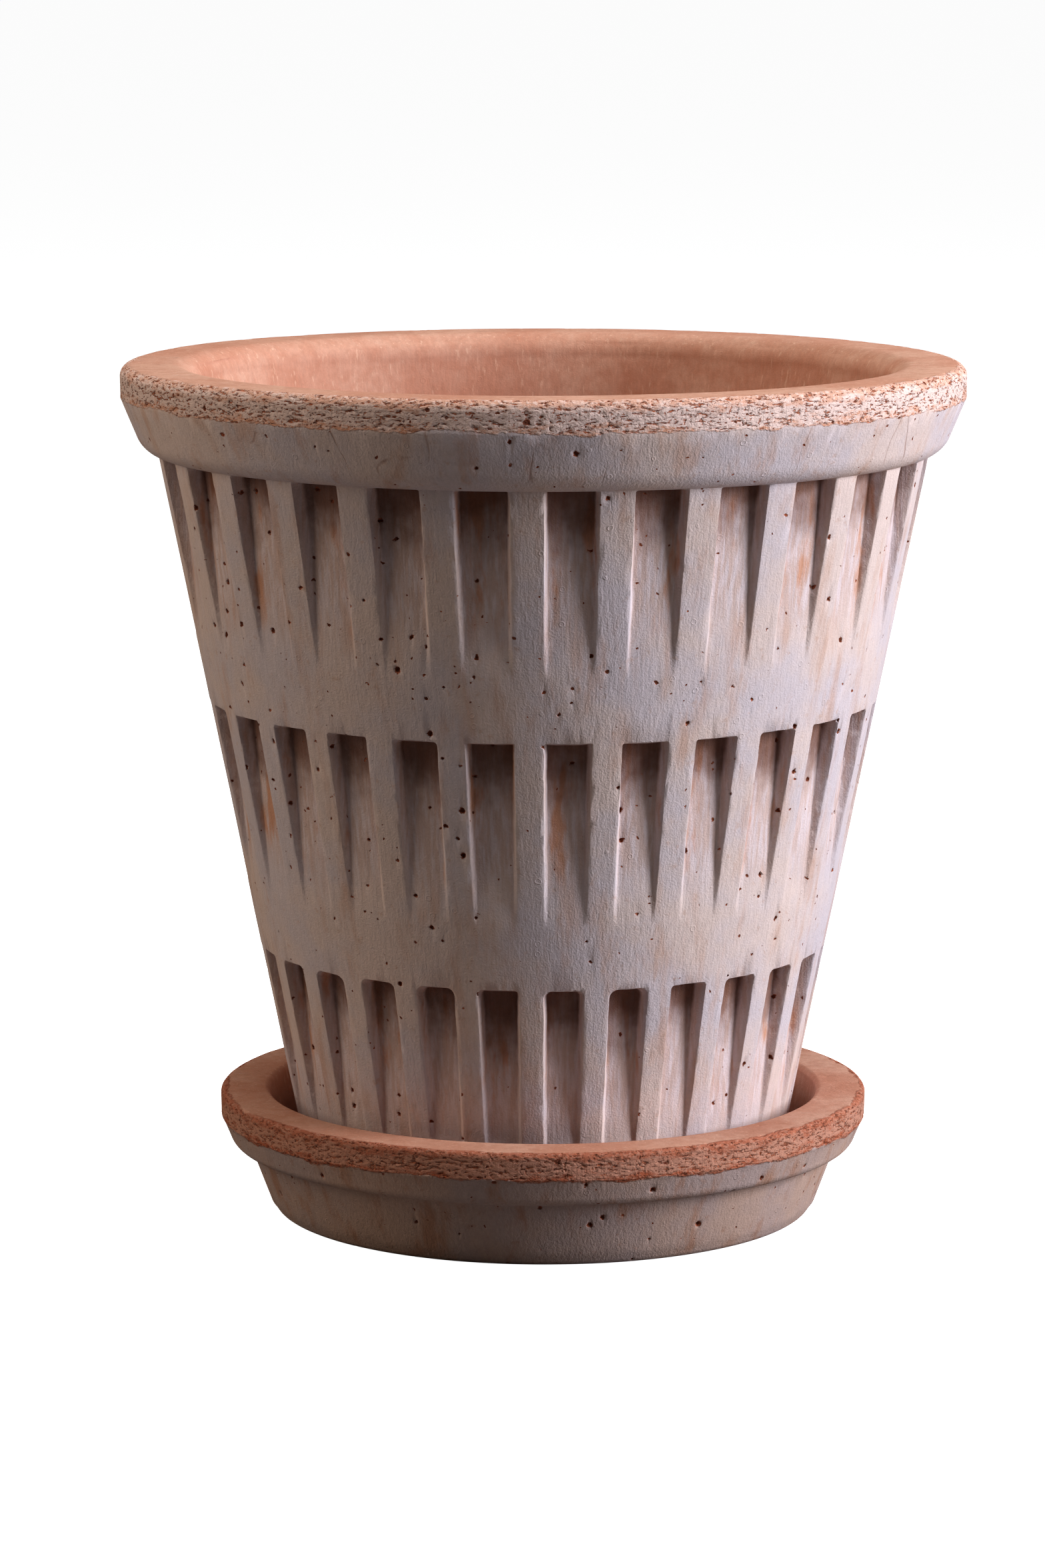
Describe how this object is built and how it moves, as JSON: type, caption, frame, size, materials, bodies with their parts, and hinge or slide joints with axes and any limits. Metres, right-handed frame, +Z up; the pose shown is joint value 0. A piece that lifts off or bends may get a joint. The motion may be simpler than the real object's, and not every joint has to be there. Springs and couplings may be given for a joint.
{
  "type": "terracotta pot",
  "caption": "Tapered fired-clay plant pot with a rolled rim and rows of pressed flutes, standing loose in its round drip saucer.",
  "frame": {"origin": "centre of the saucer's base, on the surface that the saucer stands on", "axes": "+Z up along the pot's axis; -Y is the front; flutes repeat round Z"},
  "size_m": [0.21, 0.21, 0.2135],
  "materials": {
    "pot_clay": "matt bare fired clay with a pale lime bloom",
    "saucer_clay": "matt bare fired clay"
  },
  "bodies": {
    "saucer": {"saucer": "saucer_clay"},
    "pot": {"pot": "pot_clay"}
  },
  "joints": [
    {"name": "pot_lift", "type": "slide", "parent": "saucer", "child": "pot", "axis": [0, 0, 1], "range_m": [0, 0.06]}
  ]
}
